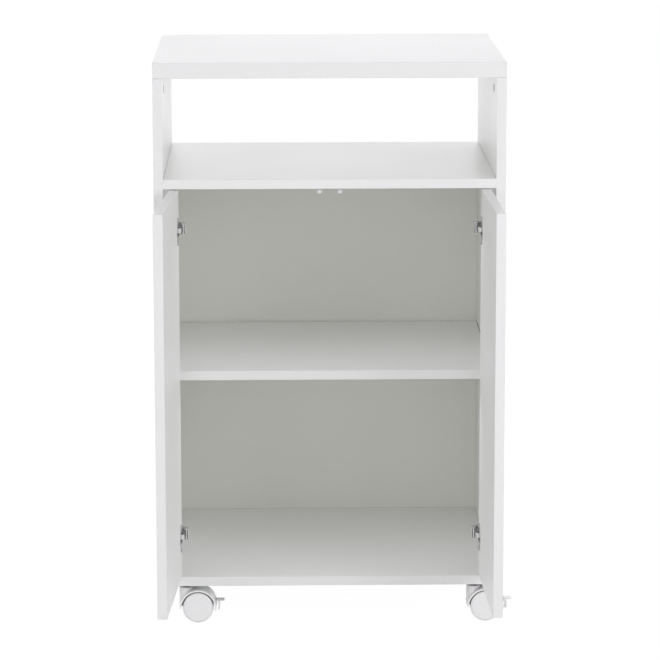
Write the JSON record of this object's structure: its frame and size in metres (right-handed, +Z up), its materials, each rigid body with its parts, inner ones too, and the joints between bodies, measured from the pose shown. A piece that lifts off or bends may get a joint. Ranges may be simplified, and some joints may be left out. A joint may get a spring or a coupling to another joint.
{
  "type": "microwave cart",
  "caption": "White microwave cart with an open niche over a two-door cupboard with an inner shelf, on twin-wheel casters with foot brakes.",
  "frame": {"origin": "on the floor under the middle of the carcass footprint", "axes": "+X to the right seen from the front, +Y from the front (door side) to the back, +Z up"},
  "size_m": [0.577, 0.7182, 0.918],
  "materials": {
    "white_melamine_board": "satin white melamine over chipboard",
    "painted_hardboard": "satin white paint over hardboard",
    "beech": "plain",
    "zinc_plated_steel": "satin",
    "hinge_steel": "satin nickel",
    "caster_steel": "satin",
    "latch_plastic": "satin",
    "wheel_plastic": "semi-gloss",
    "caster_plastic": "semi-gloss"
  },
  "bodies": {
    "carcass": {"back_panel": "painted_hardboard", "back_panel_nails": "zinc_plated_steel", "bottom_board": "white_melamine_board", "cam_bolts": "zinc_plated_steel", "cam_locks": "zinc_plated_steel", "caster_kingpins": "zinc_plated_steel", "caster_screws": "zinc_plated_steel", "front_left_caster_plate": "caster_steel", "front_right_caster_plate": "caster_steel", "hinge_arm_pins": "zinc_plated_steel", "hinge_arm_screws": "zinc_plated_steel", "hinge_mounting_plates": "hinge_steel", "hinge_plate_screws": "zinc_plated_steel", "inner_shelf": "white_melamine_board", "latch_screws": "zinc_plated_steel", "left_hinge_arms": "hinge_steel", "left_push_latch": "latch_plastic", "left_side_panel": "white_melamine_board", "niche_shelf": "white_melamine_board", "rear_left_caster_plate": "caster_steel", "rear_right_caster_plate": "caster_steel", "right_hinge_arms": "hinge_steel", "right_push_latch": "latch_plastic", "right_side_panel": "white_melamine_board", "shelf_pins": "zinc_plated_steel", "top_board": "white_melamine_board", "wooden_dowels": "beech"},
    "left_links": {"left_hinge_links": "hinge_steel"},
    "left_door": {"left_door": "white_melamine_board", "left_hinge_cups": "hinge_steel", "left_cup_pins": "zinc_plated_steel", "left_cup_screws": "zinc_plated_steel"},
    "left_plunger": {"left_latch_plunger": "latch_plastic"},
    "right_links": {"right_hinge_links": "hinge_steel"},
    "right_door": {"right_door": "white_melamine_board", "right_hinge_cups": "hinge_steel", "right_cup_pins": "zinc_plated_steel", "right_cup_screws": "zinc_plated_steel"},
    "right_plunger": {"right_latch_plunger": "latch_plastic"},
    "front_left_caster": {"front_left_caster_hood": "caster_plastic", "front_left_caster_axle": "zinc_plated_steel"},
    "front_left_face_wheel": {"front_left_caster_face_wheel": "wheel_plastic"},
    "front_left_back_wheel": {"front_left_caster_back_wheel": "wheel_plastic"},
    "front_left_brake": {"front_left_brake_lever": "caster_plastic"},
    "front_right_caster": {"front_right_caster_hood": "caster_plastic", "front_right_caster_axle": "zinc_plated_steel"},
    "front_right_face_wheel": {"front_right_caster_face_wheel": "wheel_plastic"},
    "front_right_back_wheel": {"front_right_caster_back_wheel": "wheel_plastic"},
    "front_right_brake": {"front_right_brake_lever": "caster_plastic"},
    "rear_left_caster": {"rear_left_caster_hood": "caster_plastic", "rear_left_caster_axle": "zinc_plated_steel"},
    "rear_left_face_wheel": {"rear_left_caster_face_wheel": "wheel_plastic"},
    "rear_left_back_wheel": {"rear_left_caster_back_wheel": "wheel_plastic"},
    "rear_right_caster": {"rear_right_caster_hood": "caster_plastic", "rear_right_caster_axle": "zinc_plated_steel"},
    "rear_right_face_wheel": {"rear_right_caster_face_wheel": "wheel_plastic"},
    "rear_right_back_wheel": {"rear_right_caster_back_wheel": "wheel_plastic"}
  },
  "joints": [
    {"name": "left_link_swing", "type": "hinge", "parent": "carcass", "child": "left_links", "pos_m": [-0.2345, -0.2137, 0.3985], "axis": [0, 0, 1], "range_deg": [-29.46, 0.48]},
    {"name": "left_door_swing", "type": "hinge", "parent": "left_links", "child": "left_door", "pos_m": [-0.24753, -0.23231, 0.3985], "axis": [0, 0, 1], "range_deg": [-1.97, 122.95]},
    {"name": "left_latch_push", "type": "slide", "parent": "carcass", "child": "left_plunger", "axis": [0, 1, 0], "range_m": [0, 0.003], "stiffness_N_per_m": 250},
    {"name": "right_link_swing", "type": "hinge", "parent": "carcass", "child": "right_links", "pos_m": [0.2345, -0.2137, 0.3985], "axis": [0, 0, -1], "range_deg": [-28.77, 1.18]},
    {"name": "right_door_swing", "type": "hinge", "parent": "right_links", "child": "right_door", "pos_m": [0.24776, -0.23215, 0.3985], "axis": [0, 0, -1], "range_deg": [-4.87, 120.06]},
    {"name": "right_latch_push", "type": "slide", "parent": "carcass", "child": "right_plunger", "axis": [0, 1, 0], "range_m": [0, 0.003], "stiffness_N_per_m": 250},
    {"name": "front_left_swivel", "type": "hinge", "parent": "carcass", "child": "front_left_caster", "pos_m": [-0.235, -0.2025, 0.0625], "axis": [0, 0, 1], "continuous": true},
    {"name": "front_left_face_wheel_spin", "type": "hinge", "parent": "front_left_caster", "child": "front_left_face_wheel", "pos_m": [-0.216, -0.2025, 0.025], "axis": [0, 1, 0], "continuous": true},
    {"name": "front_left_back_wheel_spin", "type": "hinge", "parent": "front_left_caster", "child": "front_left_back_wheel", "pos_m": [-0.216, -0.2025, 0.025], "axis": [0, 1, 0], "continuous": true},
    {"name": "front_left_brake_press", "type": "hinge", "parent": "front_left_caster", "child": "front_left_brake", "pos_m": [-0.1875, -0.2025, 0.0322], "axis": [0, 1, 0], "range_deg": [0, 9]},
    {"name": "front_right_swivel", "type": "hinge", "parent": "carcass", "child": "front_right_caster", "pos_m": [0.235, -0.2025, 0.0625], "axis": [0, 0, 1], "continuous": true},
    {"name": "front_right_face_wheel_spin", "type": "hinge", "parent": "front_right_caster", "child": "front_right_face_wheel", "pos_m": [0.254, -0.2025, 0.025], "axis": [0, 1, 0], "continuous": true},
    {"name": "front_right_back_wheel_spin", "type": "hinge", "parent": "front_right_caster", "child": "front_right_back_wheel", "pos_m": [0.254, -0.2025, 0.025], "axis": [0, 1, 0], "continuous": true},
    {"name": "front_right_brake_press", "type": "hinge", "parent": "front_right_caster", "child": "front_right_brake", "pos_m": [0.2825, -0.2025, 0.0322], "axis": [0, 1, 0], "range_deg": [0, 9]},
    {"name": "rear_left_swivel", "type": "hinge", "parent": "carcass", "child": "rear_left_caster", "pos_m": [-0.235, 0.2025, 0.0625], "axis": [0, 0, 1], "continuous": true},
    {"name": "rear_left_face_wheel_spin", "type": "hinge", "parent": "rear_left_caster", "child": "rear_left_face_wheel", "pos_m": [-0.216, 0.2025, 0.025], "axis": [0, 1, 0], "continuous": true},
    {"name": "rear_left_back_wheel_spin", "type": "hinge", "parent": "rear_left_caster", "child": "rear_left_back_wheel", "pos_m": [-0.216, 0.2025, 0.025], "axis": [0, 1, 0], "continuous": true},
    {"name": "rear_right_swivel", "type": "hinge", "parent": "carcass", "child": "rear_right_caster", "pos_m": [0.235, 0.2025, 0.0625], "axis": [0, 0, 1], "continuous": true},
    {"name": "rear_right_face_wheel_spin", "type": "hinge", "parent": "rear_right_caster", "child": "rear_right_face_wheel", "pos_m": [0.254, 0.2025, 0.025], "axis": [0, 1, 0], "continuous": true},
    {"name": "rear_right_back_wheel_spin", "type": "hinge", "parent": "rear_right_caster", "child": "rear_right_back_wheel", "pos_m": [0.254, 0.2025, 0.025], "axis": [0, 1, 0], "continuous": true}
  ],
  "couplings": [
    {"joint": "left_link_swing", "follows": "left_door_swing", "ratio": -0.23954},
    {"joint": "right_link_swing", "follows": "right_door_swing", "ratio": -0.23954}
  ]
}
